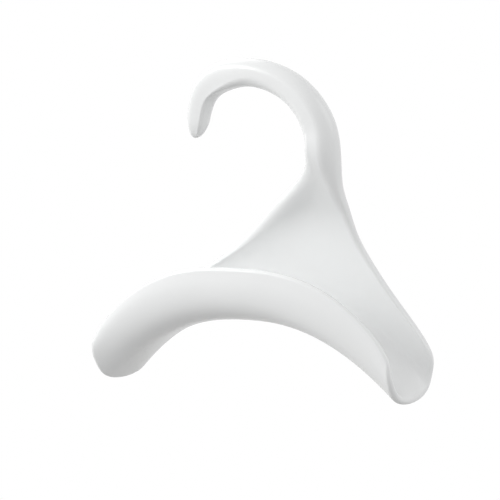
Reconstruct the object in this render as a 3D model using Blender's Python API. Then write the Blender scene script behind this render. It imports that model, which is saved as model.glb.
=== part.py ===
"""Handbag hanger: a broad hook that flares into a saddle-shaped trough for bag handles.

Metres, +Z up, front towards -Y. The origin is the rail seat: the underside of the hook's
crown, straight above the middle of the saddle. Two pieces: the moulding, and the strip
that closes the cored back of its hook.
"""
import math

import bmesh
import bpy
import numpy as np
from mathutils import Matrix, Vector

# Hook, seen from the front: the middle line of its section is two quarter ovals
CROWN_OFFSET = 0.008          # the crown lies this far left of the saddle's middle
LEFT_REACH = 0.0258           # crown to the left side of the middle line
LEFT_DROP = 0.025             # crown down to the tip's end of the left oval
LEFT_FULLNESS = 2.4           # exponent of the left oval, 2 is a plain ellipse
RIGHT_REACH = 0.0416          # crown to the right side of the middle line
RIGHT_DROP = 0.0352           # crown down to the level of the widest point
RIGHT_FULLNESS = 2.0

# Hook, its section: width in the plane of the hook, depth from front to back
TIP_WIDTH = 0.0084
SHOULDER_WIDTH = 0.013
CROWN_WIDTH = 0.0122
NECK_WIDTH = 0.0133
TIP_FRONT = 0.0034            # middle plane to the front face
CROWN_FRONT = 0.006
NECK_FRONT = 0.0065
HOOK_BACK = 0.0056            # middle plane to the flat back face
BACK_EDGE_ROUND = 0.0028
TIP_LENGTH = 0.0042           # rounded end of the hook

# Saddle trough
SADDLE_LENGTH = 0.160
SADDLE_DROP = 0.077           # rail seat down to the top of the lip
SADDLE_ARCH = 0.034           # the lip's ends lie this far under its middle
WEB_EXPONENT = 2.0            # exponent of the arch of the web's sections
TROUGH_DEPTH = 0.037          # between the middle surfaces of lip and back wall
TROUGH_HEIGHT = 0.021
LIP_FRONT = 0.0195            # middle plane of the hook to the lip's middle surface
WALL = 0.0034
LIP_CORNER = 0.009            # radius of the lip's corners

# Cored back of the hook and the strip that closes it
STRIP_MARGIN = 0.0034         # hook's side to the edge of the strip's seat
STRIP_THICK = 0.002
STRIP_EXTRA = 0.006           # how far the strip runs on below the widest point
FIT_GAP = 0.0003
CORE_LEDGE = 0.0009           # rim of the seat that the strip lies on
FRONT_SKIN = 0.003            # wall left between a core pocket and the front face
BOSS_LENGTH = 0.0075          # bridge of plastic left round a peg's socket
PEG_DIAMETER = 0.0026
PEG_LENGTH = 0.004
PEG_CHAMFER = 0.0004
STRIP_BEVEL = 0.0003
CUT_OVERRUN = 0.002

# Places along the hook as shares of its middle line, from the tip to the widest point
SHOULDER_SHARE = 0.25
CROWN_SHARE = 0.45
STRIP_START_SHARE = 0.22
PEG_SHARES = (0.27, 0.5, 0.74, 0.98)

# Section of the trough from the back wall's top to the lip's top: how far forward as a
# share of the depth, how far down as a share of the height, its reach as a share of the
# half length, how much of the saddle's arch it has, the exponent of that arch (2 is a
# parabola, more is flatter in the middle), and how much of the lip's corners
TROUGH_SHARES = (
    (0.00, 0.25, 0.960, 0.90, 2.0, 0.0),
    (0.01, 0.50, 0.962, 0.94, 2.1, 0.0),
    (0.09, 0.80, 0.958, 0.95, 2.2, 0.0),
    (0.33, 1.00, 0.962, 0.95, 2.35, 0.0),
    (0.68, 1.00, 0.974, 0.94, 2.6, 0.0),
    (0.88, 0.79, 0.982, 0.95, 2.7, 0.1),
    (0.96, 0.43, 0.986, 0.98, 2.7, 0.6),
    (0.995, 0.06, 0.9875, 1.00, 2.7, 1.0),
)

# Web between neck and trough, from the top down. Left rim then right rim, each as shares
# of the way from the neck's side to the back wall's end: across, down, back. Then the
# middle's rise over the rims as a share of the arch, its dish as a share of the trough's
# depth, and how much of the neck's depth is left over the wall, in the middle, at the rims
WEB_SHARES = (
    (0.097, 0.157, 0.10, 0.00, 0.162, 0.10, 0.00, 0.040, 0.40, 0.74),
    (0.23, 0.28, 0.32, 0.04, 0.285, 0.32, 0.00, 0.114, 0.16, 0.47),
    (0.365, 0.409, 0.55, 0.11, 0.418, 0.55, 0.06, 0.119, 0.06, 0.24),
    (0.51, 0.523, 0.75, 0.27, 0.561, 0.75, 0.19, 0.086, 0.02, 0.12),
    (0.69, 0.646, 0.89, 0.51, 0.713, 0.89, 0.375, 0.045, 0.01, 0.05),
    (0.86, 0.80, 0.97, 0.78, 0.856, 0.97, 0.60, 0.014, 0.00, 0.02),
)

# Rounding of the section's edges as shares of its width or wall
TIP_EDGE_SHARE = 0.30
CROWN_EDGE_SHARE = 0.42
NECK_EDGE_SHARE = 0.30
WALL_EDGE_SHARE = 0.5

# Flat part of the section's sides as shares of the thickness
TIP_FLAT_SHARE = 0.40
CROWN_FLAT_SHARE = 0.22
NECK_FLAT_SHARE = 0.50
WALL_FLAT_SHARE = 0.15

# Depth of the front face at its rims against its middle: crowned on the hook, dished at
# the neck, where the dish starts at this share of the middle line
CROWN_RIM_SHARE = 0.86
NECK_RIM_SHARE = 1.17
DISH_START_SHARE = 0.7

# Fineness of the mesh
LEFT_STEPS = 3
RIGHT_STEPS = 6
ROW_STEPS = 3
CORE_COLUMNS = 17
EDGE_ANGLES = (0.0, 30.0, 60.0, 90.0)
OUTLINE_STEPS = 30
LINE_STEPS = 200
ROUND_STEPS = 8
PEG_SIDES = 20
SHARP_ANGLE = 40.0            # degrees between faces that show as an edge

PLASTIC_WHITE = (0.82, 0.82, 0.81, 1.0)
PLASTIC_ROUGHNESS = 0.18
WELD_DISTANCE = 0.000001


def clear_scene():
    """Remove what a new Blender file starts with."""
    for obj in list(bpy.data.objects):
        bpy.data.objects.remove(obj)


def plastic(name):
    """Gloss white moulded plastic."""
    material = bpy.data.materials.new(name)
    material.use_nodes = True
    shader = material.node_tree.nodes["Principled BSDF"]
    shader.inputs["Base Color"].default_value = PLASTIC_WHITE
    shader.inputs["Roughness"].default_value = PLASTIC_ROUGHNESS
    shader.inputs["Metallic"].default_value = 0.0
    return material


def spline(knots, values, places):
    """Natural cubic spline through values at the knots, read at the places."""
    count = len(knots)
    gaps = np.diff(knots)
    matrix = np.eye(count)
    right = np.zeros_like(values)
    for i in range(1, count - 1):
        matrix[i, i - 1:i + 2] = gaps[i - 1], 2 * (gaps[i - 1] + gaps[i]), gaps[i]
        rise = (values[i + 1] - values[i]) / gaps[i]
        right[i] = 6 * (rise - (values[i] - values[i - 1]) / gaps[i - 1])
    bend = np.linalg.solve(matrix, right)
    result = []
    for place in places:
        i = min(max(int(np.searchsorted(knots, place, side="right")) - 1, 0), count - 2)
        before, after, gap = place - knots[i], knots[i + 1] - place, gaps[i]
        cubic = (bend[i] * after ** 3 + bend[i + 1] * before ** 3) / (6 * gap)
        first = (values[i] / gap - bend[i] * gap / 6) * after
        last = (values[i + 1] / gap - bend[i + 1] * gap / 6) * before
        result.append(cubic + first + last)
    return np.array(result)


def crown_height():
    """Height of the middle line's crown that puts the seat at the origin."""
    across = CROWN_OFFSET / RIGHT_REACH
    level = (1 - across ** RIGHT_FULLNESS) ** (1 / RIGHT_FULLNESS)
    slope = RIGHT_DROP / RIGHT_REACH * (across / level) ** (RIGHT_FULLNESS - 1)
    return RIGHT_DROP * (1 - level) + CROWN_WIDTH / 2 * math.hypot(1, slope)


def hook_point(turn):
    """Point of the middle line and its outward direction; turn runs from -1 at the tip
    over 0 at the crown to 1 at the widest point of the neck."""
    angle = abs(turn) * math.pi / 2
    if turn < 0:
        reach, drop, power = -LEFT_REACH, LEFT_DROP, LEFT_FULLNESS
    else:
        reach, drop, power = RIGHT_REACH, RIGHT_DROP, RIGHT_FULLNESS
    across = math.sin(angle) ** (2 / power)
    level = max(math.cos(angle), 0.0) ** (2 / power)
    place = Vector((reach * across - CROWN_OFFSET, 0, crown_height() - drop * (1 - level)))
    out = Vector((across ** (power - 1) / reach, 0, level ** (power - 1) / drop))
    return place, out.normalized()


def hook_line(turns):
    """Points, outward directions and shares of the length for a list of turns."""
    places, outs = zip(*(hook_point(turn) for turn in turns))
    steps = [(b - a).length for a, b in zip(places, places[1:])]
    lengths = np.concatenate([[0.0], np.cumsum(steps)])
    return places, outs, lengths / lengths[-1]


def hook_width(share):
    """Width of the hook at a share of its middle line."""
    stations = (0.0, SHOULDER_SHARE, CROWN_SHARE, 1.0)
    return float(np.interp(share, stations, (TIP_WIDTH, SHOULDER_WIDTH, CROWN_WIDTH, NECK_WIDTH)))


def along_hook(share, tip, crown, neck):
    """Value at a share of the middle line that changes evenly from tip to crown to neck."""
    return float(np.interp(share, (0.0, CROWN_SHARE, 1.0), (tip, crown, neck)))


def hook_front(share):
    """Distance from the middle plane to the front face at a share of the middle line."""
    return along_hook(share, TIP_FRONT, CROWN_FRONT, NECK_FRONT)


def section(left, right, middle, front, front_rim, back, back_rim, edge, back_edge, corner,
            exponent, flat):
    """One row of the loft as a list of numbers: the two rims of its middle surface, how
    far the middle stands off the line between them, the thickness in front of and behind
    that surface, the roundings of its edges, its share of the lip's corner, the exponent
    of its arch and the flat share of its sides."""
    return np.array([*left, *right, *middle, front, front_rim, back, back_rim, edge,
                     back_edge, corner, exponent, flat])


def hook_sections():
    """Sections from the tip over the crown to the widest point of the neck."""
    turns = [-1 + i / LEFT_STEPS for i in range(LEFT_STEPS)]
    turns += [i / RIGHT_STEPS for i in range(RIGHT_STEPS + 1)]
    rows = []
    for place, out, share in zip(*hook_line(turns)):
        half = hook_width(share) / 2
        front = hook_front(share)
        edge = hook_width(share) * along_hook(share, TIP_EDGE_SHARE, CROWN_EDGE_SHARE,
                                              NECK_EDGE_SHARE)
        flat = along_hook(share, TIP_FLAT_SHARE, CROWN_FLAT_SHARE, NECK_FLAT_SHARE)
        rim = float(np.interp(share, (DISH_START_SHARE, 1.0), (CROWN_RIM_SHARE, NECK_RIM_SHARE)))
        rows.append(section(place - out * half, place + out * half, (0, 0, 0), front,
                            front * rim, HOOK_BACK, HOOK_BACK, edge, BACK_EDGE_ROUND, 0,
                            WEB_EXPONENT, flat))
    return rows


def trough_sections():
    """Sections of the trough from the back wall over the floor to the lip."""
    rows = []
    for forward, down, reach, arched, exponent, corner in TROUGH_SHARES:
        half = SADDLE_LENGTH / 2 * reach
        arch = SADDLE_ARCH * arched
        y = TROUGH_DEPTH * (1 - forward) - LIP_FRONT
        z = -SADDLE_DROP - TROUGH_HEIGHT * down - arch
        rows.append(section((-half, y, z), (half, y, z), (0, 0, arch), WALL / 2, WALL / 2,
                            WALL / 2, WALL / 2, WALL * WALL_EDGE_SHARE,
                            WALL * WALL_EDGE_SHARE, corner, exponent, WALL_FLAT_SHARE))
    return rows


def web_sections(neck, trough):
    """Sections of the web, led from the neck's sides to the back wall's ends."""
    neck_depth = NECK_FRONT * NECK_RIM_SHARE + HOOK_BACK
    rows = []
    for shares in WEB_SHARES:
        left_move, right_move = np.array(shares[0:3]), np.array(shares[3:6])
        rise, dish, middle_left, rim_left = shares[6:10]
        top_left, top_right = neck[0:3], neck[3:6]
        left = top_left + (trough[0:3] - top_left) * left_move[[0, 2, 1]]
        right = top_right + (trough[3:6] - top_right) * right_move[[0, 2, 1]]
        thick = WALL + (neck_depth - WALL) * middle_left
        rim_thick = WALL + (neck_depth - WALL) * rim_left
        edge = WALL_EDGE_SHARE + (NECK_EDGE_SHARE - WALL_EDGE_SHARE) * rim_left
        flat = WALL_FLAT_SHARE + (NECK_FLAT_SHARE - WALL_FLAT_SHARE) * rim_left
        rows.append(section(left, right, (0, TROUGH_DEPTH * dish, SADDLE_ARCH * rise),
                            thick / 2, rim_thick / 2, thick / 2, rim_thick / 2,
                            rim_thick * edge, rim_thick * edge, 0, WEB_EXPONENT, flat))
    return rows


def body_sections():
    """All sections, from the hook's tip to the lip, led through one smooth spline."""
    hook = hook_sections()
    trough = trough_sections()
    rows = np.array(hook + web_sections(hook[-1], trough[0]) + trough)
    lines = (rows[:, 0:3], (rows[:, 0:3] + rows[:, 3:6]) / 2 + rows[:, 6:9], rows[:, 3:6])
    steps = sum(np.linalg.norm(np.diff(line, axis=0), axis=1) for line in lines)
    knots = np.concatenate([[0.0], np.cumsum(np.sqrt(steps))])
    places = np.concatenate([np.linspace(a, b, ROW_STEPS, endpoint=False)
                             for a, b in zip(knots, knots[1:])] + [knots[-1:]])
    return spline(knots, rows, places)


def tip_sections(first, second):
    """Sections that close the hook's tip in a round end, from its pole."""
    centre = (first[0:3] + first[3:6]) / 2
    ahead = centre - (second[0:3] + second[3:6]) / 2
    ahead /= np.linalg.norm(ahead)
    half = (first[3:6] - first[0:3]) / 2
    rows = []
    for angle in EDGE_ANGLES[:-1]:
        turn = math.radians(angle)
        row = first.copy()
        place = centre + ahead * TIP_LENGTH * math.cos(turn)
        row[0:3] = place - half * math.sin(turn)
        row[3:6] = place + half * math.sin(turn)
        row[9:15] *= math.sin(turn)
        rows.append(row)
    return rows


def columns(row, edge):
    """Places across one section, from -1 at the left rim to 1 at the right rim, and how
    full the thickness is there; the edge is the width of its rounding."""
    half = np.linalg.norm(row[3:6] - row[0:3]) / 2
    turns = np.radians(EDGE_ANGLES)
    inner = edge / half if half > 0 else TIP_EDGE_SHARE
    left = -1 + inner * (1 - np.cos(turns))
    core = (1 - inner) * np.sin(np.linspace(-math.pi / 2, math.pi / 2, CORE_COLUMNS))
    across = np.concatenate([left[:-1], core, -left[-2::-1]])
    full = np.concatenate([np.sin(turns)[:-1], np.ones(CORE_COLUMNS), np.sin(turns)[-2::-1]])
    return across, full


def middle_surface(rows, across):
    """Middle surface of the loft at the places across each section."""
    left, right, lift = rows[:, None, 0:3], rows[:, None, 3:6], rows[:, None, 6:9]
    half = np.linalg.norm(right - left, axis=2) / 2
    place = (left + right) / 2 + (right - left) / 2 * across[..., None]
    dish = 1 - across ** 2
    rise = 1 - np.abs(across) ** rows[:, 16:17]
    place = place + lift * np.stack([np.zeros_like(dish), dish, rise], axis=-1)
    near_end = np.clip((np.abs(across) * half - (half - LIP_CORNER)) / LIP_CORNER, 0, 1)
    fall = LIP_CORNER * (1 - np.sqrt(1 - near_end ** 2))
    place[..., 2] -= fall * np.clip(rows[:, 15:16], 0, 1)
    return place


def skin(rows, tip_rows, side):
    """Front (-1) or back (1) skin of the loft as a grid of points; the first rows are
    those of the tip, which lie flat in the plane of the hook."""
    edge_value, middle_value, rim_value = (13, 9, 10) if side < 0 else (14, 11, 12)
    grid = [columns(row, row[edge_value]) for row in rows]
    across = np.array([item[0] for item in grid])
    full = np.array([item[1] for item in grid])
    place = middle_surface(rows, across)
    along = np.gradient(place[tip_rows:], axis=0)
    over = np.gradient(place[tip_rows:], axis=1)
    outward = -side * np.cross(along, over)
    outward /= np.linalg.norm(outward, axis=2, keepdims=True)
    outward = np.concatenate([np.repeat(outward[:1], tip_rows, axis=0), outward])
    middle, rim = rows[:, middle_value:middle_value + 1], rows[:, rim_value:rim_value + 1]
    thick = rim + (middle - rim) * (1 - across ** 2)
    flat = rows[:, 17:18]
    thick = outward * (thick * (flat + (1 - flat) * full))[..., None]
    up = place[-1] - place[-2]
    up *= np.linalg.norm(thick[-1], axis=1, keepdims=True)
    up /= np.linalg.norm(place[-1] - place[-2], axis=1, keepdims=True)
    turns = np.radians(EDGE_ANGLES[1:])
    lip = [place[-1] + up * math.sin(turn) + thick[-1] * math.cos(turn) for turn in turns]
    return np.concatenate([place + thick, np.array(lip)])


def body_skins():
    """Front and back skins with the rounded tip and the rounded top of the lip."""
    rows = body_sections()
    tip = tip_sections(rows[0], rows[1])
    rows = np.vstack([tip, rows])
    return skin(rows, len(tip), -1), skin(rows, len(tip), 1)


def body_mesh():
    """Closed mesh of the moulding before its back is cored."""
    front, back = body_skins()
    loops = np.concatenate([front, back[:, ::-1]], axis=1)
    build = bmesh.new()
    rings = [[build.verts.new(point) for point in loop] for loop in loops]
    for ring, following in zip(rings, rings[1:]):
        for i in range(len(ring)):
            j = (i + 1) % len(ring)
            build.faces.new((ring[i], ring[j], following[j], following[i]))
    half = front.shape[1]
    for i in range(half - 1):
        j = 2 * half - 1 - i
        build.faces.new((rings[-1][i], rings[-1][i + 1], rings[-1][j - 1], rings[-1][j]))
    bmesh.ops.remove_doubles(build, verts=build.verts, dist=WELD_DISTANCE)
    bmesh.ops.recalc_face_normals(build, faces=build.faces)
    return build


def add_object(name, build, material=None):
    """Object from a bmesh, linked to the scene and shaded smooth."""
    mesh = bpy.data.meshes.new(name)
    build.to_mesh(mesh)
    build.free()
    obj = bpy.data.objects.new(name, mesh)
    bpy.context.scene.collection.objects.link(obj)
    mesh.shade_smooth()
    mesh.set_sharp_from_angle(angle=math.radians(SHARP_ANGLE))
    if material:
        mesh.materials.append(material)
    return obj


def hook_place(share):
    """Point of the hook's middle line and its outward direction at a share of its length;
    past the widest point the line runs on straight down."""
    turns = np.linspace(-1, 1, LINE_STEPS + 1)
    places, outs, shares = hook_line(turns)
    inside = min(share, 1.0)
    place = Vector([float(np.interp(inside, shares, [p[i] for p in places])) for i in range(3)])
    out = Vector([float(np.interp(inside, shares, [o[i] for o in outs])) for i in range(3)])
    place.z -= (share - inside) * hook_length()
    return place, out.normalized()


def hook_length():
    """Length of the hook's middle line."""
    places = hook_line(np.linspace(-1, 1, LINE_STEPS + 1))[0]
    return sum((b - a).length for a, b in zip(places, places[1:]))


def seat_half(share):
    """Half the width of the strip's seat at a share of the middle line."""
    return hook_width(min(share, 1.0)) / 2 - STRIP_MARGIN


def band_outline(start, end, shrink):
    """Round-ended band along the middle line, as wide as the strip's seat less a margin."""
    shares = np.linspace(start, end, OUTLINE_STEPS + 1)
    stations = [(*hook_place(share), seat_half(share) - shrink) for share in shares]
    inner = [place - out * half for place, out, half in stations]
    outer = [place + out * half for place, out, half in stations]
    caps = []
    for (place, out, half), sense in ((stations[-1], 1), (stations[0], -1)):
        ahead = Vector((out.z, 0, -out.x)) * sense
        side = out * sense
        turns = [math.pi * i / ROUND_STEPS for i in range(1, ROUND_STEPS)]
        caps.append([place + side * (half * math.cos(t)) + ahead * (half * math.sin(t))
                     for t in turns])
    return outer + caps[0] + inner[::-1] + caps[1]


def prism(outline, low, high):
    """Closed prism over an outline in the plane of the hook, from y = low to y = high."""
    build = bmesh.new()
    ring = [build.verts.new((point.x, low, point.z)) for point in outline]
    base = build.faces.new(ring)
    grown = bmesh.ops.extrude_face_region(build, geom=[base])["geom"]
    moved = [item for item in grown if isinstance(item, bmesh.types.BMVert)]
    bmesh.ops.translate(build, verts=moved, vec=(0, high - low, 0))
    bmesh.ops.recalc_face_normals(build, faces=build.faces)
    return build


def add_pegs(build, radius, low, high, chamfer):
    """Upright pegs along y at each peg's place, from y = low to y = high."""
    turn = Matrix.Rotation(math.pi / 2, 4, "X")
    for share in PEG_SHARES:
        place = hook_place(share)[0]
        place.y = (low + high) / 2
        made = bmesh.ops.create_cone(build, cap_ends=True, segments=PEG_SIDES, radius1=radius,
                                     radius2=radius, depth=high - low,
                                     matrix=Matrix.Translation(place) @ turn)["verts"]
        if chamfer:
            end = [v for v in made if v.co.y < place.y]
            rim = [e for e in build.edges if e.verts[0] in end and e.verts[1] in end]
            bmesh.ops.bevel(build, geom=rim, offset=chamfer, segments=1, affect="EDGES")


def add_cutter(target, name, build, operation="DIFFERENCE"):
    """Hidden helper object and the Boolean modifier that uses it on the target."""
    helper = add_object(name, build)
    helper.hide_render = True
    helper.display_type = "WIRE"
    modifier = target.modifiers.new(name, "BOOLEAN")
    modifier.operation = operation
    modifier.solver = "EXACT"
    modifier.object = helper


def strip_end():
    """Share of the middle line where the strip's lower end has its centre."""
    return 1 + STRIP_EXTRA / hook_length()


def core_back(body):
    """Cut the strip's seat, the core pockets under it and the sockets of its pegs."""
    seat_floor = HOOK_BACK - STRIP_THICK - FIT_GAP
    outside = HOOK_BACK + CUT_OVERRUN
    seat = band_outline(STRIP_START_SHARE, strip_end(), 0)
    add_cutter(body, "strip_seat_cut", prism(seat, seat_floor, outside))
    boss = BOSS_LENGTH / 2 / hook_length()
    for i, (start, end) in enumerate(zip(PEG_SHARES, PEG_SHARES[1:])):
        first, last = start + boss, end - boss
        band = band_outline(first, last, CORE_LEDGE)
        floor = FRONT_SKIN - hook_front(first)
        add_cutter(body, f"core_pocket_cut_{i + 1}", prism(band, floor, outside))
    sockets = bmesh.new()
    socket_floor = HOOK_BACK - STRIP_THICK - PEG_LENGTH - FIT_GAP
    add_pegs(sockets, PEG_DIAMETER / 2 + FIT_GAP, socket_floor, outside, 0)
    add_cutter(body, "peg_socket_cut", sockets)


def make_strip(material):
    """Strip that closes the cored back, flush with it, with its pegs."""
    outline = band_outline(STRIP_START_SHARE, strip_end(), FIT_GAP)
    inner = HOOK_BACK - STRIP_THICK
    build = prism(outline, inner, HOOK_BACK)
    rim = [e for e in build.edges if all(v.co.y > inner + STRIP_THICK / 2 for v in e.verts)]
    bmesh.ops.bevel(build, geom=rim, offset=STRIP_BEVEL, segments=1, affect="EDGES")
    strip = add_object("hook_back_strip", build, material)
    pegs = bmesh.new()
    add_pegs(pegs, PEG_DIAMETER / 2, inner - PEG_LENGTH, inner + STRIP_THICK / 2, PEG_CHAMFER)
    add_cutter(strip, "peg_shapes", pegs, "UNION")


clear_scene()
body = add_object("saddle_body", body_mesh(), plastic("gloss_white_moulding"))
core_back(body)
make_strip(plastic("gloss_white_strip"))
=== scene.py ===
"""Dresses the handbag hanger: its fine moulding, the strip in the back of its hook, and a
plain pale stage with soft studio light. Metres, +Z up, front towards -Y, origin at the rail
seat under the crown of the hook."""
import math

import bmesh
import bpy
import numpy as np
from bpy.props import FloatProperty, FloatVectorProperty, PointerProperty
from mathutils import Matrix, Vector
from mathutils.bvhtree import BVHTree


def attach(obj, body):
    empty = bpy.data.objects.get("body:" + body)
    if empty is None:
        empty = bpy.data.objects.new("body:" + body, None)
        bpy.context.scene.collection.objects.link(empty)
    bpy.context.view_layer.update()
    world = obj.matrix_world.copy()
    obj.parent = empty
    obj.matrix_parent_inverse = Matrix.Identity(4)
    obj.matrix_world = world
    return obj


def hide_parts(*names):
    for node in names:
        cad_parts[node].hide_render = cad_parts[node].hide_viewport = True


bl_info = {
    "name": "Handbag hanger",
    "version": (1, 0, 0),
    "blender": (4, 5, 0),
    "location": "3D View > Sidebar > Hanger",
    "description": "Builds a moulded handbag hanger and the strip in its back",
    "category": "Add Mesh",
}

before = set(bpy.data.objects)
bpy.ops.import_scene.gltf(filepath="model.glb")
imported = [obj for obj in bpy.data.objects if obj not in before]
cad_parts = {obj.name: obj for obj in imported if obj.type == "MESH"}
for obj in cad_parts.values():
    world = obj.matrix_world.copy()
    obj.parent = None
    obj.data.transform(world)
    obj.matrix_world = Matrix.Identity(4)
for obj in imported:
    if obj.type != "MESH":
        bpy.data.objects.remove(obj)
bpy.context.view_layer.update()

# Places along the hook as shares of its middle line, from the tip to the widest point
SHOULDER_SHARE = 0.25
CROWN_SHARE = 0.45
STRIP_START_SHARE = 0.22
PEG_SHARES = (0.27, 0.5, 0.74, 0.98)

# Section of the trough from the back wall's top to the lip's top: how far forward its rims
# lie as a share of the depth, how much further forward its middle bulges, how far down it
# is as a share of the height, its reach as a share of the half length, how much of the
# saddle's arch it has, the exponent of that arch (2 is a parabola, more is flatter in the
# middle), and how much of the lip's corners
TROUGH_SHARES = (
    (0.003, 0.0, 0.25, 0.960, 0.90, 2.0, 0.0),
    (0.01, 0.0, 0.50, 0.962, 0.94, 2.1, 0.0),
    (0.09, 0.0, 0.82, 0.958, 0.94, 2.5, 0.0),
    (0.35, 0.02, 1.00, 0.962, 0.94, 2.6, 0.0),
    (0.63, 0.06, 1.00, 0.970, 0.94, 2.35, 0.0),
    (0.80, 0.07, 0.88, 0.974, 0.945, 2.25, 0.0),
    (0.905, 0.055, 0.64, 0.977, 0.95, 2.35, 0.05),
    (0.962, 0.018, 0.36, 0.979, 0.97, 2.55, 0.2),
    (0.970, 0.0, 0.18, 0.978, 0.985, 2.65, 0.35),
    (0.962, 0.0, 0.067, 0.977, 0.99, 2.7, 0.45),
)

# Web between neck and trough, from the top down. Left rim and right rim, each as shares
# of the way from the neck's side to the back wall's end: across, back, down. Then how far
# the middle rises over the rims as a share of the arch, and how far it is dished to the
# back as a share of the trough's depth. Then how much of the neck's extra depth is left:
# in the middle, at the left rim, in front of the right rim, where the ridge runs out
# sooner, and behind it
WEB_SHARES = (
    ((0.100, 0.13, 0.157), (-0.01, 0.13, 0.162), (0.00, 0.040), (0.40, 0.74, 0.33, 0.72)),
    ((0.239, 0.40, 0.28), (0.013, 0.40, 0.285), (0.00, 0.080), (0.16, 0.47, 0.02, 0.49)),
    ((0.377, 0.65, 0.409), (0.076, 0.65, 0.418), (0.06, 0.055), (0.06, 0.24, 0.00, 0.24)),
    ((0.517, 0.81, 0.523), (0.25, 0.81, 0.561), (0.19, 0.025), (0.02, 0.12, 0.00, 0.12)),
    ((0.693, 0.92, 0.646), (0.50, 0.92, 0.713), (0.375, 0.010), (0.01, 0.05, 0.00, 0.05)),
    ((0.861, 0.98, 0.80), (0.777, 0.98, 0.856), (0.60, 0.005), (0.00, 0.02, 0.00, 0.02)),
)

# Where the crease inside the tip starts to soften and where the ridge outside the neck
# starts, as shares of the middle line
CREASE_END_SHARE = 0.33
RIDGE_START_SHARE = 0.8

# The tip's end: 1 closes it as an ellipse, more makes it pointed; and the width of its
# rounding at the pole as a share of its half width
TIP_POINT = 1.05
POLE_ROUND_SHARE = 0.3

# Depth of the front face at its inner and outer rim against its middle, on the hook and at
# the neck: it slopes back towards the outside. From this share of the middle line on, it
# changes from the one to the other
HOOK_RIM_SHARES = (0.96, 0.74)
NECK_RIM_SHARES = (1.12, 0.72)
NECK_START_SHARE = 0.7

# Depth of an edge's rounding against its width, and the most that the roundings of both
# edges may take, as a share of the half width, so that they never meet
ROUND_DEPTH = 1.5
ROUNDS_LIMIT = 1.7

# Where a section of the loft holds its values, in the order in which section() puts them
LEFT = slice(0, 3)
RIGHT = slice(3, 6)
LIFT = slice(6, 9)
DISH = 7
FRONT_DEPTHS = slice(9, 12)
BACK_DEPTHS = slice(12, 15)
FRONT_ROUNDS = slice(15, 17)
BACK_ROUND = 17
DEPTHS_AND_ROUNDS = slice(9, 18)
CORNER = slice(18, 19)
EXPONENT = slice(19, 20)

# Fineness of the mesh
LEFT_STEPS = 3                # sections of the hook left of its crown
RIGHT_STEPS = 6               # and right of it
ROW_STEPS = 10                # rows of the mesh from one section to the next
CORE_COLUMNS = 49             # columns between the roundings of its edges
EDGE_ANGLES = tuple(range(0, 91, 10))     # degrees round an edge, from its rim inwards
TIP_ANGLES = tuple(range(0, 90, 5))       # degrees round the tip, from its pole inwards
OUTLINE_STEPS = 90            # along the strip
LINE_STEPS = 400              # along the hook's middle line, to measure it
ROUND_STEPS = 16              # round each end of the strip
BEVEL_STEPS = 3
CHAMFER_STEPS = 2
PEG_SIDES = 32
MARK_SIDES = 48
FLOOR_SIDES = 96
SHARP_ANGLE = 32.0            # degrees between faces that show as an edge
WELD_DISTANCE = 0.0000001     # points of the loft closer than this are one

# Round marks that the ejector pins leave on the back of the web and of the trough, across
# and up from the rail seat, as shares of the saddle's length and drop
EJECTOR_SHARES = ((0.213, -0.62), (0.05, -0.91), (0.26, -1.03), (-0.19, -1.19), (0.4, -1.38))

# White ABS: how it bends light, how much its gloss varies, and the sizes of its patterns
# in millimetres. Plastic flows further through the moulding than through the thin strip
ABS_IOR = 1.53
GLOSS_SPREAD = 0.02
MOULDING_FLOW_MM = 45
STRIP_FLOW_MM = 30
RUBBED_MM = 14
PEEL_MM = 1.6
MM_PER_METRE = 1000

# Paper floor: its roughness, and where it starts and ends its fade to white as shares of
# its radius
PAPER_ROUGHNESS = 0.9
FADE_SHARES = (0.4, 0.95)

# Studio: where its light changes from that below to that of the walls, and from that of
# the walls to that above, as the upward part of a direction of length 1
RISE_TO_WALLS = (-0.5, 0.15)
RISE_TO_CEILING = (0.2, 0.5)

# Lamps: degrees round to the right of the front, and above
KEY_ANGLES = (-50, 30)
SIDE_ANGLES = (-60, 10)
RIM_ANGLES = (-120, 40)
BACK_ANGLES = (120, 40)

# Camera at the photograph's angle and framing: degrees as for a lamp, metres, and
# millimetres for its sensor and lens. Lamps look at the same point
AIM = Vector((0, 0.005, -0.065))
CAMERA_ANGLES = (35.0, 3.5)
CAMERA_DISTANCE = 0.9
CAMERA_SENSOR = 36.0
CAMERA_LENS = 149.04
CAMERA_SHIFT = (-0.0312, -0.024)


def linear(code):
    """Linear colour with full alpha from an sRGB hex value such as "#F4F2EE"."""
    shades = [int(code[i:i + 2], 16) / 255 for i in (1, 3, 5)]
    return tuple(s / 12.92 if s <= 0.04045 else ((s + 0.055) / 1.055) ** 2.4
                 for s in shades) + (1.0,)


def length(name, default, description):
    """Property that holds a length in metres."""
    return FloatProperty(name=name, default=default, description=description, unit="LENGTH",
                         subtype="DISTANCE", precision=5, min=0.0)


def watts(name, default, description):
    """Property for a lamp's power in watts."""
    return FloatProperty(name=name, default=default, min=0.0, subtype="POWER", unit="POWER",
                         description=description)


def colour(name, default, description):
    """Property that holds a colour, given as an sRGB hex value."""
    return FloatVectorProperty(name=name, default=linear(default), description=description,
                               size=4, subtype="COLOR", min=0.0, max=1.0)


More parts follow.
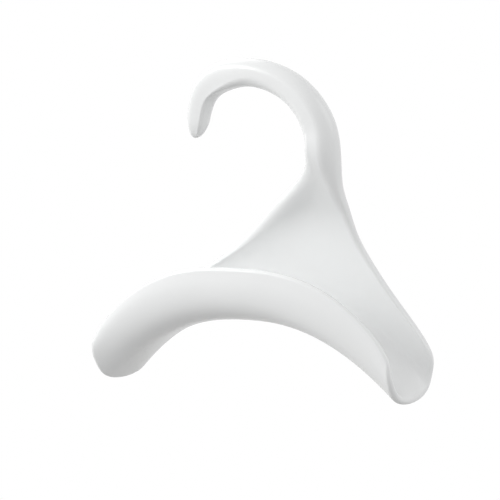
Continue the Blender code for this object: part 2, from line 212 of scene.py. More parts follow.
class HangerForm(bpy.types.PropertyGroup):
    """Sizes of the moulding and of the strip in its back."""
    crown_offset: length("Crown offset", 0.008, "Crown to the saddle's middle, on its left")
    left_reach: length("Left reach", 0.0258, "Crown to the left side of the hook's middle line")
    left_drop: length("Left drop", 0.025, "Crown down to the tip's end of the left oval")
    left_fullness: FloatProperty(name="Left fullness", default=2.4, min=1.5, max=4.0,
                                 description="Exponent of the left oval, 2 is an ellipse")
    right_reach: length("Right reach", 0.0416, "Crown to the right side of the middle line")
    right_drop: length("Right drop", 0.0352, "Crown down to the level of the widest point")
    right_fullness: FloatProperty(name="Right fullness", default=2.0, min=1.5, max=4.0,
                                  description="Exponent of the right oval, 2 is an ellipse")
    tip_width: length("Tip width", 0.0084, "Width of the hook at its tip")
    shoulder_width: length("Shoulder width", 0.013, "Width of the hook at its left shoulder")
    crown_width: length("Crown width", 0.01215, "Width of the hook at its crown")
    neck_width: length("Neck width", 0.0133, "Width of the hook at the neck")
    tip_front: length("Tip front", 0.0034, "Middle plane to the front face at the tip")
    crown_front: length("Crown front", 0.006, "Middle plane to the front face at the crown")
    neck_front: length("Neck front", 0.0065, "Middle plane to the front face at the neck")
    hook_back: length("Hook back", 0.0056, "Middle plane to the flat back of the hook")
    back_edge_round: length("Back edge round", 0.0028, "Rounding of the hook's back edges")
    crease_round: length("Crease round", 0.0013, "Rounding of the crease inside the tip")
    tip_round: length("Tip round", 0.0026, "Rounding of the tip's outer front edge")
    crown_round: length("Crown round", 0.0047, "Rounding of the crown's front edges")
    bead_round: length("Bead round", 0.003, "Rounding of the neck's inner front edge")
    roll_round: length("Roll round", 0.0125, "Rounding of the web's left edge under the neck")
    ridge_round: length("Ridge round", 0.006, "Rounding of the ridge outside the neck")
    wall_round: length("Wall round", 0.0015, "Rounding of the trough's rims")
    tip_length: length("Tip length", 0.0036, "Tip's end of the oval to the pole of the tip")
    tip_taper: length("Tip taper", 0.0085, "Pole of the tip to where the hook has its full width")
    saddle_length: length("Saddle length", 0.16, "Length of the saddle")
    saddle_drop: length("Saddle drop", 0.077, "Rail seat down to the top of the lip")
    saddle_arch: length("Saddle arch", 0.034, "How far the lip's ends lie under its middle")
    web_exponent: FloatProperty(name="Web exponent", default=2.0, min=1.5, max=4.0,
                                description="Exponent of the arch of the web's sections")
    trough_depth: length("Trough depth", 0.037, "Lip to back wall, between middle surfaces")
    trough_height: length("Trough height", 0.021, "Top of the lip down to the floor")
    lip_front: length("Lip front", 0.0195, "Middle plane of the hook to the lip")
    wall: length("Wall", 0.0034, "Thickness of the trough's wall")
    lip_corner: length("Lip corner", 0.009, "Radius of the lip's corners")
    strip_margin: length("Strip margin", 0.0034, "Hook's side to the edge of the strip's seat")
    strip_thick: length("Strip thickness", 0.002, "Thickness of the strip")
    strip_extra: length("Strip extra", 0.006, "How far the strip runs on below the widest point")
    fit_gap: length("Fit gap", 0.0003, "Gap round the strip")
    core_ledge: length("Core ledge", 0.0009, "Rim of the seat that the strip lies on")
    front_skin: length("Front skin", 0.003, "Wall between a core pocket and the front face")
    boss_length: length("Boss length", 0.0075, "Bridge of plastic round a peg's socket")
    peg_diameter: length("Peg diameter", 0.0026, "Diameter of the strip's pegs")
    peg_length: length("Peg length", 0.004, "Length of the strip's pegs")
    peg_chamfer: length("Peg chamfer", 0.0004, "Chamfer at the end of a peg")
    strip_bevel: length("Strip bevel", 0.0003, "Rounding of the strip's outer edge")
    cut_overrun: length("Cut overrun", 0.002, "How far a cutter runs past the surface")
    mark_diameter: length("Mark diameter", 0.005, "Diameter of an ejector pin's mark")
    mark_depth: length("Mark depth", 0.00015, "Depth of an ejector pin's mark")
    gate_diameter: length("Gate diameter", 0.0032, "Dimple that the plastic flowed in through")
    gate_depth: length("Gate depth", 0.0004, "Depth of the gate's dimple")


class HangerFinish(bpy.types.PropertyGroup):
    """Colours and gloss of the plastic."""
    plastic_colour: colour("Plastic colour", "#F0F1F1", "White of the plastic")
    flow_colour: colour("Flow colour", "#EEEFEF", "Deeper white where the plastic flowed thin")
    gloss_roughness: FloatProperty(name="Gloss roughness", default=0.24, min=0.0, max=1.0,
                                   description="Roughness of the polished faces")
    satin_roughness: FloatProperty(name="Satin roughness", default=0.36, min=0.0, max=1.0,
                                   description="Roughness of the strip")
    peel_depth: length("Orange peel depth", 0.000012, "Depth of the moulded skin's waviness")


class HangerStage(bpy.types.PropertyGroup):
    """Floor, light and camera."""
    floor_colour: colour("Floor colour", "#F4F3F1", "Pale floor under the hanger")
    floor_drop: length("Floor drop", 0.30, "Rail seat down to the floor")
    floor_radius: length("Floor radius", 0.62, "Radius of the round floor")
    light_above: FloatProperty(name="Light above", default=0.57, min=0.0, max=2.0,
                               description="Strength of the even light from above")
    light_around: FloatProperty(name="Light around", default=1.1, min=0.0, max=2.0,
                                description="Strength of the even light from the studio's walls")
    light_below: FloatProperty(name="Light below", default=0.36, min=0.0, max=2.0,
                               description="Strength of the even light that comes back from below")
    key_power: watts("Key power", 6.8, "Power of the lamp above, at the left")
    side_power: watts("Side power", 1.8, "Power of the low lamp at the left")
    rim_power: watts("Rim power", 2.2, "Power of the lamp above and behind, on the left")
    back_power: watts("Back power", 1.4, "Power of the lamp above and behind, on the right")
    lamp_width: length("Lamp width", 0.8, "Diameter of each round soft lamp")
    lamp_distance: length("Lamp distance", 1.3, "Each lamp to the middle of the hanger")


def spline(knots, values, places):
    """Natural cubic spline through values at the knots, read at the places."""
    count = len(knots)
    gaps = np.diff(knots)
    matrix = np.eye(count)
    right = np.zeros_like(values)
    for i in range(1, count - 1):
        matrix[i, i - 1:i + 2] = gaps[i - 1], 2 * (gaps[i - 1] + gaps[i]), gaps[i]
        rise = (values[i + 1] - values[i]) / gaps[i]
        right[i] = 6 * (rise - (values[i] - values[i - 1]) / gaps[i - 1])
    bend = np.linalg.solve(matrix, right)
    result = []
    for place in places:
        i = min(max(int(np.searchsorted(knots, place, side="right")) - 1, 0), count - 2)
        before, after, gap = place - knots[i], knots[i + 1] - place, gaps[i]
        cubic = (bend[i] * after ** 3 + bend[i + 1] * before ** 3) / (6 * gap)
        first = (values[i] / gap - bend[i] * gap / 6) * after
        last = (values[i + 1] / gap - bend[i + 1] * gap / 6) * before
        result.append(cubic + first + last)
    return np.array(result)


def crown_height(form):
    """Height of the middle line's crown that puts the seat at the origin."""
    fullness = form.right_fullness
    across = form.crown_offset / form.right_reach
    level = (1 - across ** fullness) ** (1 / fullness)
    slope = form.right_drop / form.right_reach * (across / level) ** (fullness - 1)
    return form.right_drop * (1 - level) + form.crown_width / 2 * math.hypot(1, slope)


def hook_point(form, turn):
    """Point of the middle line and its outward direction; turn runs from -1 at the tip
    over 0 at the crown to 1 at the widest point of the neck."""
    angle = abs(turn) * math.pi / 2
    if turn < 0:
        reach, drop, fullness = -form.left_reach, form.left_drop, form.left_fullness
    else:
        reach, drop, fullness = form.right_reach, form.right_drop, form.right_fullness
    across = math.sin(angle) ** (2 / fullness)
    level = max(math.cos(angle), 0.0) ** (2 / fullness)
    height = crown_height(form) - drop * (1 - level)
    place = Vector((reach * across - form.crown_offset, 0, height))
    out = Vector((across ** (fullness - 1) / reach, 0, level ** (fullness - 1) / drop))
    return place, out.normalized()


def hook_line(form, turns):
    """Points, outward directions and shares of the length for a list of turns."""
    places, outs = zip(*(hook_point(form, turn) for turn in turns))
    steps = [(b - a).length for a, b in zip(places, places[1:])]
    lengths = np.concatenate([[0.0], np.cumsum(steps)])
    return places, outs, lengths / lengths[-1]


def hook_width(form, share):
    """Width of the hook at a share of its middle line."""
    widths = (form.tip_width, form.shoulder_width, form.crown_width, form.neck_width)
    return float(np.interp(share, (0.0, SHOULDER_SHARE, CROWN_SHARE, 1.0), widths))


def along_hook(share, tip, crown, neck):
    """Value at a share of the middle line that changes evenly from tip to crown to neck."""
    return float(np.interp(share, (0.0, CROWN_SHARE, 1.0), (tip, crown, neck)))


def hook_front(form, share):
    """Distance from the middle plane to the front face at a share of the middle line."""
    return along_hook(share, form.tip_front, form.crown_front, form.neck_front)


def section(left, right, lift, fronts, backs, rounds, corner, exponent):
    """One section of the loft as a row of numbers: the two rims of its middle surface, how
    far the middle is lifted off the line between them, the thickness in front of and behind
    that surface (each in the middle, at the left rim and at the right rim), the roundings
    of the left and right front edges and of the back edges, its share of the lip's corner
    and the exponent of its arch."""
    return np.array([*left, *right, *lift, *fronts, *backs, *rounds, corner, exponent])


def hook_sections(form):
    """Sections from the tip over the crown to the widest point of the neck."""
    turns = [-1 + i / LEFT_STEPS for i in range(LEFT_STEPS)]
    turns += [i / RIGHT_STEPS for i in range(RIGHT_STEPS + 1)]
    rows = []
    for place, out, share in zip(*hook_line(form, turns)):
        half = hook_width(form, share) / 2
        front = hook_front(form, share)
        rim, ridge = (front * float(np.interp(share, (NECK_START_SHARE, 1.0), depths))
                      for depths in zip(HOOK_RIM_SHARES, NECK_RIM_SHARES))
        left_round = float(np.interp(share, (CREASE_END_SHARE, CROWN_SHARE, 1),
                                     (form.crease_round, form.crown_round, form.bead_round)))
        right_round = float(np.interp(share, (0, CROWN_SHARE, RIDGE_START_SHARE, 1),
                                      (form.tip_round, form.crown_round, form.crown_round,
                                       form.ridge_round)))
        rows.append(section(place - out * half, place + out * half, (0, 0, 0),
                            (front, rim, ridge), [form.hook_back] * 3,
                            (left_round, right_round, form.back_edge_round), 0,
                            form.web_exponent))
    return rows


def trough_sections(form):
    """Sections of the trough from the back wall over the floor to the lip."""
    rows = []
    wall = form.wall
    for forward, bulge, down, reach, arched, exponent, corner in TROUGH_SHARES:
        half = form.saddle_length / 2 * reach
        arch = form.saddle_arch * arched
        y = form.trough_depth * (1 - forward) - form.lip_front
        z = -form.saddle_drop - form.trough_height * down - arch
        lift = (0, -form.trough_depth * bulge, arch)
        rows.append(section((-half, y, z), (half, y, z), lift, [wall / 2] * 3,
                            [wall / 2] * 3, [form.wall_round] * 3, corner, exponent))
    return rows


def web_sections(form, neck, trough):
    """Sections of the web, led from the neck's sides to the back wall's ends."""
    wall = form.wall
    neck_depth = form.neck_front * NECK_RIM_SHARES[0] + form.hook_back
    rows = []
    for left_move, right_move, (rise, dish), kept in WEB_SHARES:
        left = neck[LEFT] + (trough[LEFT] - neck[LEFT]) * np.array(left_move)
        right = neck[RIGHT] + (trough[RIGHT] - neck[RIGHT]) * np.array(right_move)
        lift = (0, form.trough_depth * dish, form.saddle_arch * rise)
        middle, rim, ridge, behind = ((wall + (neck_depth - wall) * share) / 2
                                      for share in kept)
        rim_kept = kept[1]
        rounds = [form.wall_round + (at_neck - form.wall_round) * share
                  for at_neck, share in ((form.roll_round, math.sqrt(rim_kept)),
                                         (form.ridge_round, rim_kept),
                                         (form.back_edge_round, rim_kept))]
        rows.append(section(left, right, lift, (middle, rim, ridge), (middle, rim, behind),
                            rounds, 0, form.web_exponent))
    return rows


def body_sections(form):
    """All sections, from the hook's tip to the lip, led through one smooth spline."""
    hook = hook_sections(form)
    trough = trough_sections(form)
    rows = np.array(hook + web_sections(form, hook[-1], trough[0]) + trough)
    lines = (rows[:, LEFT], (rows[:, LEFT] + rows[:, RIGHT]) / 2 + rows[:, LIFT],
             rows[:, RIGHT])
    steps = sum(np.linalg.norm(np.diff(line, axis=0), axis=1) for line in lines)
    knots = np.concatenate([[0.0], np.cumsum(np.sqrt(steps))])
    places = np.concatenate([np.linspace(a, b, ROW_STEPS, endpoint=False)
                             for a, b in zip(knots, knots[1:])] + [knots[-1:]])
    return spline(knots, rows, places)


def round_tip(form, rows):
    """Lead the hook past its first section to a pole and narrow it to a round point; also
    how many rows that adds."""
    centres = (rows[:, LEFT] + rows[:, RIGHT]) / 2
    ahead = centres[0] - centres[1]
    ahead /= np.linalg.norm(ahead)
    reach = form.tip_taper * (1 - np.cos(np.radians(TIP_ANGLES)))
    reach = reach[reach < form.tip_length]
    added = np.repeat(rows[:1], len(reach), axis=0)
    shift = ahead * (form.tip_length - reach)[:, None]
    added[:, LEFT] += shift
    added[:, RIGHT] += shift
    steps = np.linalg.norm(np.diff(centres, axis=0), axis=1)
    reach = np.concatenate([reach, form.tip_length + np.concatenate([[0.0], np.cumsum(steps)])])
    rows = np.concatenate([added, rows])
    away = 1 - np.minimum(reach / form.tip_taper, 1)
    full = ((1 - away ** 2) ** (TIP_POINT / 2))[:, None]
    centres = (rows[:, LEFT] + rows[:, RIGHT]) / 2
    halves = (rows[:, RIGHT] - rows[:, LEFT]) / 2
    rows[:, LEFT] = centres - halves * full
    rows[:, RIGHT] = centres + halves * full
    rows[:, DEPTHS_AND_ROUNDS] *= full
    return rows, len(added)


def columns(row, rims, rounds):
    """Places across one section, from -1 at the left rim to 1 at the right rim, and how
    full the thickness is there, with a quarter round of its own at each rim and a flat
    side behind it."""
    half = np.linalg.norm(row[RIGHT] - row[LEFT]) / 2
    turns = np.radians(EDGE_ANGLES)
    wide = [item / half if half > 0 else POLE_ROUND_SHARE for item in rounds]
    wide = [item * min(1, ROUNDS_LIMIT / sum(wide)) for item in wide]
    flat = [1 - min(ROUND_DEPTH * item / rim, 1) if rim > 0 else 0
            for item, rim in zip(rounds, rims)]
    left = -1 + wide[0] * (1 - np.cos(turns))
    right = 1 - wide[1] * (1 - np.cos(turns))
    swing = np.sin(np.linspace(-math.pi / 2, math.pi / 2, CORE_COLUMNS))
    core = (left[-1] + right[-1]) / 2 + (right[-1] - left[-1]) / 2 * swing
    across = np.concatenate([left[:-1], core, right[-2::-1]])
    left_full, right_full = (side + (1 - side) * np.sin(turns) for side in flat)
    full = np.concatenate([left_full[:-1], np.ones(CORE_COLUMNS), right_full[-2::-1]])
    return across, full


def middle_surface(form, rows, across):
    """Middle surface of the loft at the places across each section."""
    left, right, lift = rows[:, None, LEFT], rows[:, None, RIGHT], rows[:, None, LIFT]
    half = np.linalg.norm(right - left, axis=2) / 2
    place = (left + right) / 2 + (right - left) / 2 * across[..., None]
    dish = 1 - across ** 2
    rise = 1 - np.abs(across) ** rows[:, EXPONENT]
    place = place + lift * np.stack([np.zeros_like(dish), dish, rise], axis=-1)
    corner = form.lip_corner
    near_end = np.clip((np.abs(across) * half - (half - corner)) / corner, 0, 1)
    fall = corner * (1 - np.sqrt(1 - near_end ** 2))
    place[..., 2] -= fall * np.clip(rows[:, CORNER], 0, 1)
    return place


def normals(surface, across):
    """Unit normals of a grid of points at uneven places across, pointing to the back."""
    gaps = np.diff(across, axis=1)[..., None]
    slopes = np.diff(surface, axis=1) / gaps
    inner = (slopes[:, :-1] * gaps[:, 1:] + slopes[:, 1:] * gaps[:, :-1])
    inner /= gaps[:, :-1] + gaps[:, 1:]
    sideways = np.concatenate([slopes[:, :1], inner, slopes[:, -1:]], axis=1)
    upright = np.cross(np.gradient(surface, axis=0), sideways)
    return upright / np.linalg.norm(upright, axis=2, keepdims=True)


def skin(form, rows, tip_rows, side):
    """Front (-1) or back (1) skin of the loft as a grid of points; the first rows are
    those of the tip, which lie flat in the plane of the hook. Its thickness stands square
    to the dished web at the left rim and to a web without the dish at the right rim. The
    lip's corners don't turn it, since they lie in the plane of the lip."""
    if side < 0:
        depths, rounds = rows[:, FRONT_DEPTHS], rows[:, FRONT_ROUNDS]
    else:
        depths, rounds = rows[:, BACK_DEPTHS], rows[:, [BACK_ROUND, BACK_ROUND]]
    grid = [columns(row, depth[1:3], item) for row, depth, item in zip(rows, depths, rounds)]
    across = np.array([item[0] for item in grid])
    full = np.array([item[1] for item in grid])
    place = middle_surface(form, rows, across)
    plain = rows.copy()
    plain[:, CORNER] = 0
    dished = middle_surface(form, plain, across)
    plain[:, DISH] = 0
    bare = middle_surface(form, plain, across)
    to_right = ((1 + across) / 2)[tip_rows:, :, None]
    places = across[tip_rows:]
    outward = -side * (normals(dished[tip_rows:], places) * (1 - to_right) +
                       normals(bare[tip_rows:], places) * to_right)
    outward = np.concatenate([np.repeat(outward[:1], tip_rows, axis=0), outward])
    middle, left, right = depths[:, 0:1], depths[:, 1:2], depths[:, 2:3]
    rim = (left + right) / 2 + (right - left) / 2 * across
    thick = rim + (middle - rim) * (1 - across ** 2)
    thick = outward * (thick * full)[..., None]
    step = place[-1] - place[-2]
    up = step * np.linalg.norm(thick[-1], axis=1, keepdims=True)
    up /= np.linalg.norm(step, axis=1, keepdims=True)
    turns = np.radians(EDGE_ANGLES[1:])
    lip = [place[-1] + up * math.sin(turn) + thick[-1] * math.cos(turn) for turn in turns]
    return np.concatenate([place + thick, np.array(lip)])


def moulding_mesh(form):
    """Mesh of the moulding before its back is cored; the weld closes it at the tip's pole,
    down its sides and along the lip's top."""
    rows, tip_rows = round_tip(form, body_sections(form))
    front = skin(form, rows, tip_rows, -1)
    back = skin(form, rows, tip_rows, 1)
    loops = np.concatenate([front, back[:, ::-1]], axis=1)
    build = bmesh.new()
    rings = [[build.verts.new(point) for point in loop] for loop in loops]
    for ring, following in zip(rings, rings[1:]):
        for i in range(len(ring)):
            j = (i + 1) % len(ring)
            build.faces.new((ring[i], ring[j], following[j], following[i]))
    bmesh.ops.remove_doubles(build, verts=build.verts, dist=WELD_DISTANCE)
    bmesh.ops.recalc_face_normals(build, faces=build.faces)
    return build


def hook_place(form, share):
    """Point of the hook's middle line and its outward direction at a share of its length;
    past the widest point the line runs on straight down."""
    places, outs, shares = hook_line(form, np.linspace(-1, 1, LINE_STEPS + 1))
    inside = min(share, 1.0)
    place = Vector([float(np.interp(inside, shares, [p[i] for p in places])) for i in range(3)])
    out = Vector([float(np.interp(inside, shares, [o[i] for o in outs])) for i in range(3)])
    place.z -= (share - inside) * hook_length(form)
    return place, out.normalized()


def hook_length(form):
    """Length of the hook's middle line."""
    places = hook_line(form, np.linspace(-1, 1, LINE_STEPS + 1))[0]
    return sum((b - a).length for a, b in zip(places, places[1:]))


def band_outline(form, start, end, shrink):
    """Round-ended band along the middle line, as wide as the strip's seat less a margin."""
    shares = np.linspace(start, end, OUTLINE_STEPS + 1)
    stations = []
    for share in shares:
        half = hook_width(form, min(share, 1.0)) / 2 - form.strip_margin - shrink
        stations.append((*hook_place(form, share), half))
    inner = [place - out * half for place, out, half in stations]
    outer = [place + out * half for place, out, half in stations]
    caps = []
    for (place, out, half), sense in ((stations[-1], 1), (stations[0], -1)):
        ahead = Vector((out.z, 0, -out.x)) * sense
        side = out * sense
        turns = [math.pi * i / ROUND_STEPS for i in range(1, ROUND_STEPS)]
        caps.append([place + side * (half * math.cos(t)) + ahead * (half * math.sin(t))
                     for t in turns])
    return outer + caps[0] + inner[::-1] + caps[1]


def prism(outline, low, high):
    """Closed prism over an outline in the plane of the hook, from y = low to y = high."""
    build = bmesh.new()
    ring = [build.verts.new((point.x, low, point.z)) for point in outline]
    base = build.faces.new(ring)
    grown = bmesh.ops.extrude_face_region(build, geom=[base])["geom"]
    moved = [item for item in grown if isinstance(item, bmesh.types.BMVert)]
    bmesh.ops.translate(build, verts=moved, vec=(0, high - low, 0))
    bmesh.ops.recalc_face_normals(build, faces=build.faces)
    return build


def add_pegs(build, form, radius, low, high, chamfer):
    """Pegs square to the plane of the hook at their places, from y = low to y = high."""
    turn = Matrix.Rotation(math.pi / 2, 4, "X")
    for share in PEG_SHARES:
        place = hook_place(form, share)[0]
        place.y = (low + high) / 2
        made = bmesh.ops.create_cone(build, cap_ends=True, segments=PEG_SIDES, radius1=radius,
                                     radius2=radius, depth=high - low,
                                     matrix=Matrix.Translation(place) @ turn)["verts"]
        if chamfer:
            end = [v for v in made if v.co.y < place.y]
            rim = [e for e in build.edges if e.verts[0] in end and e.verts[1] in end]
            bmesh.ops.bevel(build, geom=rim, offset=chamfer, segments=CHAMFER_STEPS,
                            affect="EDGES")


def add_object(name, build):
    """Object from a bmesh, linked to the scene; the bmesh is spent."""
    mesh = bpy.data.meshes.new(name)
    build.to_mesh(mesh)
    build.free()
    obj = bpy.data.objects.new(name, mesh)
    bpy.context.scene.collection.objects.link(obj)
    return obj


def combine(target, build, operation="DIFFERENCE"):
    """Cut a closed bmesh out of the target's mesh for good, or join it on."""
    helper = add_object("helper", build)
    modifier = target.modifiers.new("combine", "BOOLEAN")
    modifier.operation = operation
    modifier.solver = "EXACT"
    modifier.object = helper
    depsgraph = bpy.context.evaluated_depsgraph_get()
    result = bpy.data.meshes.new_from_object(target.evaluated_get(depsgraph))
    target.modifiers.remove(modifier)
    spent = target.data
    target.data = result
    bpy.data.meshes.remove(spent)
    bpy.data.objects.remove(helper)


def shade(obj, material):
    """Smooth shading with sharp edges kept, and the piece's material."""
    obj.data.shade_smooth()
    obj.data.set_sharp_from_angle(angle=math.radians(SHARP_ANGLE))
    obj.data.materials.clear()
    obj.data.materials.append(material)


def core_back(body, form):
    """Cut the strip's seat, the core pockets under it and the sockets of its pegs."""
    seat_floor = form.hook_back - form.strip_thick - form.fit_gap
    outside = form.hook_back + form.cut_overrun
    end = 1 + form.strip_extra / hook_length(form)
    combine(body, prism(band_outline(form, STRIP_START_SHARE, end, 0), seat_floor, outside))
    boss = form.boss_length / 2 / hook_length(form)
    for start, stop in zip(PEG_SHARES, PEG_SHARES[1:]):
        band = band_outline(form, start + boss, stop - boss, form.core_ledge)
        floor = form.front_skin - hook_front(form, start + boss)
        combine(body, prism(band, floor, outside))
    sockets = bmesh.new()
    socket_floor = form.hook_back - form.strip_thick - form.peg_length - form.fit_gap
    add_pegs(sockets, form, form.peg_diameter / 2 + form.fit_gap, socket_floor, outside, 0)
    combine(body, sockets)


def add_mark(build, place, normal, radius, depth, overrun):
    """Round cutter that stands on a surface and sinks into it by its depth."""
    turn = normal.to_track_quat("Z", "Y").to_matrix().to_4x4()
    centre = place + normal * (overrun - depth) / 2
    bmesh.ops.create_cone(build, cap_ends=True, segments=MARK_SIDES, radius1=radius,
                          radius2=radius, depth=overrun + depth,
                          matrix=Matrix.Translation(centre) @ turn)


def mould_marks(body, form):
    """Press the ejector pins' marks into the back and the gate's dimple under the floor."""
    tree = BVHTree.FromObject(body, bpy.context.evaluated_depsgraph_get())
    marks = bmesh.new()
    for across, up in EJECTOR_SHARES:
        start = Vector((across * form.saddle_length, form.trough_depth, up * form.saddle_drop))
        place, normal = tree.ray_cast(start, Vector((0, -1, 0)))[:2]
        add_mark(marks, place, normal, form.mark_diameter / 2, form.mark_depth,
                 form.cut_overrun)
    start = Vector((0, 0, -form.saddle_drop - form.trough_height - form.saddle_arch))
    place, normal = tree.ray_cast(start, Vector((0, 0, 1)))[:2]
    add_mark(marks, place, normal, form.gate_diameter / 2, form.gate_depth, form.cut_overrun)
    combine(body, marks)


def add_node(tree, kind, settings=None, inputs=None):
    """Node with its settings; an input is a value or the socket that feeds it."""
    node = tree.nodes.new(kind)
    for name, value in (settings or {}).items():
        setattr(node, name, value)
    for name, value in (inputs or {}).items():
        if isinstance(value, bpy.types.NodeSocket):
            tree.links.new(value, node.inputs[name])
        else:
            node.inputs[name].default_value = value
    return node


def moulded_abs(name, finish, roughness, flow_mm):
    """White ABS from a smooth mould. The eye sees a broad soft shine, a faint waviness in
    it from the moulded skin, and a hardly deeper white where the plastic flowed thin."""
    material = bpy.data.materials.new(name)
    material.use_nodes = True
    tree = material.node_tree
    shader = tree.nodes["Principled BSDF"]
    shader.inputs["IOR"].default_value = ABS_IOR
    shader.inputs["Metallic"].default_value = 0.0
    where = add_node(tree, "ShaderNodeTexCoord").outputs["Object"]
    # Flow: broad clouds, as wide as the streams in which the plastic filled the mould
    flow = add_node(tree, "ShaderNodeTexNoise", {"noise_dimensions": "3D"},
                    {"Vector": where, "Scale": MM_PER_METRE / flow_mm, "Detail": 2.0,
                     "Roughness": 0.5, "Distortion": 0.6})
    tone = add_node(tree, "ShaderNodeMapRange", None,
                    {"Value": flow.outputs["Fac"], "From Min": 0.35, "From Max": 0.65})
    white = add_node(tree, "ShaderNodeMix", {"data_type": "RGBA"},
                     {"Factor": tone.outputs["Result"], 6: finish.plastic_colour,
                      7: finish.flow_colour})
    tree.links.new(white.outputs[2], shader.inputs["Base Color"])
    # Handling: small patches where hands and handles have rubbed
    rubbed = add_node(tree, "ShaderNodeTexNoise", None,
                      {"Vector": where, "Scale": MM_PER_METRE / RUBBED_MM, "Detail": 3.0,
                       "Roughness": 0.55})
    gloss = add_node(tree, "ShaderNodeMapRange", None,
                     {"Value": rubbed.outputs["Fac"], "From Min": 0.3, "From Max": 0.7,
                      "To Min": roughness - GLOSS_SPREAD, "To Max": roughness + GLOSS_SPREAD})
    tree.links.new(gloss.outputs["Result"], shader.inputs["Roughness"])
    # Orange peel: the fine waviness of the moulded skin
    peel = add_node(tree, "ShaderNodeTexNoise", None,
                    {"Vector": where, "Scale": MM_PER_METRE / PEEL_MM, "Detail": 1.0,
                     "Roughness": 0.4})
    bump = add_node(tree, "ShaderNodeBump", None,
                    {"Height": peel.outputs["Fac"], "Strength": 1.0,
                     "Distance": finish.peel_depth})
    tree.links.new(bump.outputs["Normal"], shader.inputs["Normal"])
    return material


def seen_rays(tree):
    """1 for what the camera sees, directly, mirrored or through glass, otherwise 0."""
    path = add_node(tree, "ShaderNodeLightPath")
    mirrored = add_node(tree, "ShaderNodeMath", {"operation": "MAXIMUM"},
                        {0: path.outputs["Is Camera Ray"], 1: path.outputs["Is Glossy Ray"]})
    seen = add_node(tree, "ShaderNodeMath", {"operation": "MAXIMUM"},
                    {0: mirrored.outputs[0], 1: path.outputs["Is Transmission Ray"]})
    return seen.outputs[0]


def paper_floor(stage):
    """Matt pale paper that fades to the white of the backdrop towards its edge."""
    material = bpy.data.materials.new("matt_paper_floor")
    material.use_nodes = True
    tree = material.node_tree
    shader = tree.nodes["Principled BSDF"]
    shader.inputs["Base Color"].default_value = stage.floor_colour
    shader.inputs["Roughness"].default_value = PAPER_ROUGHNESS
    where = add_node(tree, "ShaderNodeTexCoord").outputs["Object"]
    reach = add_node(tree, "ShaderNodeVectorMath", {"operation": "LENGTH"}, {0: where})
    start, end = (stage.floor_radius * share for share in FADE_SHARES)
    fade = add_node(tree, "ShaderNodeMapRange", {"interpolation_type": "SMOOTHSTEP"},
                    {"Value": reach.outputs["Value"], "From Min": start, "From Max": end})
    share = add_node(tree, "ShaderNodeMath", {"operation": "MULTIPLY"},
                     {0: fade.outputs["Result"], 1: seen_rays(tree)})
    white = add_node(tree, "ShaderNodeEmission", None,
                     {"Color": (1, 1, 1, 1), "Strength": 1.0})
    mixed = add_node(tree, "ShaderNodeMixShader", None,
                     {0: share.outputs[0], 1: shader.outputs["BSDF"],
                      2: white.outputs["Emission"]})
    tree.links.new(mixed.outputs[0], tree.nodes["Material Output"].inputs["Surface"])
    return material


def studio_world(stage):
    """Even light from all round, strongest from the studio's walls and weakest from below,
    and plain white wherever the camera sees past the floor."""
    world = bpy.data.worlds.new("studio")
    bpy.context.scene.world = world
    world.use_nodes = True
    tree = world.node_tree
    light = tree.nodes["Background"]
    light.inputs["Color"].default_value = (1, 1, 1, 1)
    way = add_node(tree, "ShaderNodeTexCoord").outputs["Generated"]
    height = add_node(tree, "ShaderNodeSeparateXYZ", None, {"Vector": way})
    strength = stage.light_below
    for (low, high), after in ((RISE_TO_WALLS, stage.light_around),
                               (RISE_TO_CEILING, stage.light_above)):
        level = add_node(tree, "ShaderNodeMapRange", {"interpolation_type": "SMOOTHSTEP"},
                         {"Value": height.outputs["Z"], "From Min": low, "From Max": high,
                          "To Min": strength, "To Max": after})
        strength = level.outputs["Result"]
    tree.links.new(strength, light.inputs["Strength"])
    white = add_node(tree, "ShaderNodeBackground", None,
                     {"Color": (1, 1, 1, 1), "Strength": 1.0})
    mixed = add_node(tree, "ShaderNodeMixShader", None,
                     {0: seen_rays(tree), 1: light.outputs[0], 2: white.outputs[0]})
    tree.links.new(mixed.outputs[0], tree.nodes["World Output"].inputs["Surface"])


def add_watcher(name, data, angles, distance):
    """Lamp or camera that looks at the aim from these degrees round to the right of the
    front and above."""
    obj = bpy.data.objects.new(name, data)
    bpy.context.scene.collection.objects.link(obj)
    turn, rise = (math.radians(angle) for angle in angles)
    back = Vector((math.sin(turn) * math.cos(rise), -math.cos(turn) * math.cos(rise),
                   math.sin(rise)))
    obj.location = AIM + back * distance
    obj.rotation_euler = back.to_track_quat("Z", "Y").to_euler()
    return obj


def add_lamp(name, stage, angles, energy):
    """Round soft lamp of this many watts."""
    lamp = bpy.data.lights.new(name, "AREA")
    lamp.shape = "DISK"
    lamp.size = stage.lamp_width
    lamp.energy = energy
    add_watcher(name, lamp, angles, stage.lamp_distance)


def add_camera():
    """Camera at the photograph's angle, with its framing kept by a small shift."""
    camera = bpy.data.cameras.new("camera")
    camera.sensor_width = CAMERA_SENSOR
    camera.lens = CAMERA_LENS
    camera.shift_x, camera.shift_y = CAMERA_SHIFT
    bpy.context.scene.camera = add_watcher("camera", camera, CAMERA_ANGLES, CAMERA_DISTANCE)


class HANGER_OT_moulding(bpy.types.Operator):
    """Build the hook, neck, web and trough as one moulding, cored from behind"""
    bl_idname = "hanger.moulding"
    bl_label = "Moulding"

    def execute(self, context):
        form = context.scene.hanger_form
        body = add_object("hanger_moulding", moulding_mesh(form))
        core_back(body, form)
        mould_marks(body, form)
        finish = context.scene.hanger_finish
        shade(body, moulded_abs("abs_white_polished", finish, finish.gloss_roughness,
                                MOULDING_FLOW_MM))
        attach(body, "root")
        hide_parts("saddle_body")
        return {"FINISHED"}


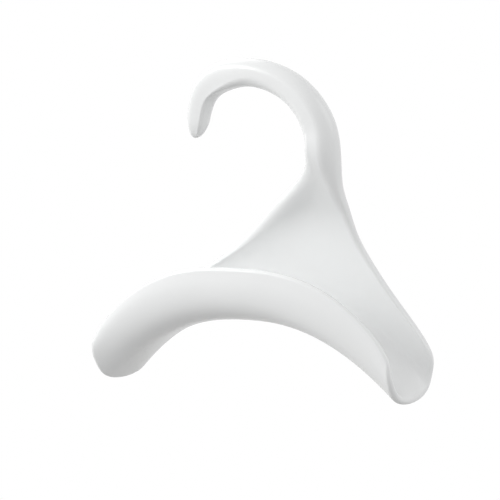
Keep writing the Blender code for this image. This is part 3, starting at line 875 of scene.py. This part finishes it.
class HANGER_OT_back_strip(bpy.types.Operator):
    """Build the strip that closes the cored back of the hook, with its pegs"""
    bl_idname = "hanger.back_strip"
    bl_label = "Back strip"

    def execute(self, context):
        form = context.scene.hanger_form
        inner = form.hook_back - form.strip_thick
        end = 1 + form.strip_extra / hook_length(form)
        build = prism(band_outline(form, STRIP_START_SHARE, end, form.fit_gap), inner,
                      form.hook_back)
        outer = inner + form.strip_thick / 2
        rim = [e for e in build.edges if all(v.co.y > outer for v in e.verts)]
        bmesh.ops.bevel(build, geom=rim, offset=form.strip_bevel, segments=BEVEL_STEPS,
                        profile=0.5, affect="EDGES")
        strip = add_object("back_strip", build)
        pegs = bmesh.new()
        add_pegs(pegs, form, form.peg_diameter / 2, inner - form.peg_length, outer,
                 form.peg_chamfer)
        combine(strip, pegs, "UNION")
        finish = context.scene.hanger_finish
        shade(strip, moulded_abs("abs_white_satin", finish, finish.satin_roughness,
                                 STRIP_FLOW_MM))
        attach(strip, "root")
        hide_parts("hook_back_strip")
        return {"FINISHED"}


class HANGER_OT_stage(bpy.types.Operator):
    """Add the pale floor, the soft light and the camera"""
    bl_idname = "hanger.stage"
    bl_label = "Stage"

    def execute(self, context):
        stage = context.scene.hanger_stage
        build = bmesh.new()
        bmesh.ops.create_circle(build, cap_ends=True, segments=FLOOR_SIDES,
                                radius=stage.floor_radius)
        floor = add_object("floor", build)
        floor.location.z = -stage.floor_drop
        floor.data.materials.append(paper_floor(stage))
        # The even light from below already stands for what the floor sends back
        floor.visible_diffuse = False
        studio_world(stage)
        add_lamp("key", stage, KEY_ANGLES, stage.key_power)
        add_lamp("side", stage, SIDE_ANGLES, stage.side_power)
        add_lamp("rim", stage, RIM_ANGLES, stage.rim_power)
        add_lamp("back", stage, BACK_ANGLES, stage.back_power)
        add_camera()
        context.scene.view_settings.view_transform = "Standard"
        return {"FINISHED"}


class HANGER_PT_panel(bpy.types.Panel):
    """Sizes, finish and the buttons that build each piece"""
    bl_idname = "HANGER_PT_panel"
    bl_label = "Handbag hanger"
    bl_space_type = "VIEW_3D"
    bl_region_type = "UI"
    bl_category = "Hanger"

    def draw(self, context):
        for group in (context.scene.hanger_form, context.scene.hanger_finish,
                      context.scene.hanger_stage):
            for name in group.__annotations__:
                self.layout.prop(group, name)
        for operator in OPERATORS:
            self.layout.operator(operator.bl_idname)


OPERATORS = (HANGER_OT_moulding, HANGER_OT_back_strip, HANGER_OT_stage)
GROUPS = {"hanger_form": HangerForm, "hanger_finish": HangerFinish,
          "hanger_stage": HangerStage}


def register():
    """Register the classes and hang the sizes on the scene."""
    for item in (*GROUPS.values(), *OPERATORS, HANGER_PT_panel):
        bpy.utils.register_class(item)
    for name, group in GROUPS.items():
        setattr(bpy.types.Scene, name, PointerProperty(type=group))


def unregister():
    """Take the sizes off the scene and unregister the classes."""
    for name in GROUPS:
        delattr(bpy.types.Scene, name)
    for item in reversed((*GROUPS.values(), *OPERATORS, HANGER_PT_panel)):
        bpy.utils.unregister_class(item)


def main():
    """Build every piece and the stage."""
    register()
    bpy.ops.hanger.moulding()
    bpy.ops.hanger.back_strip()
    bpy.ops.hanger.stage()


if __name__ == "__main__":
    main()
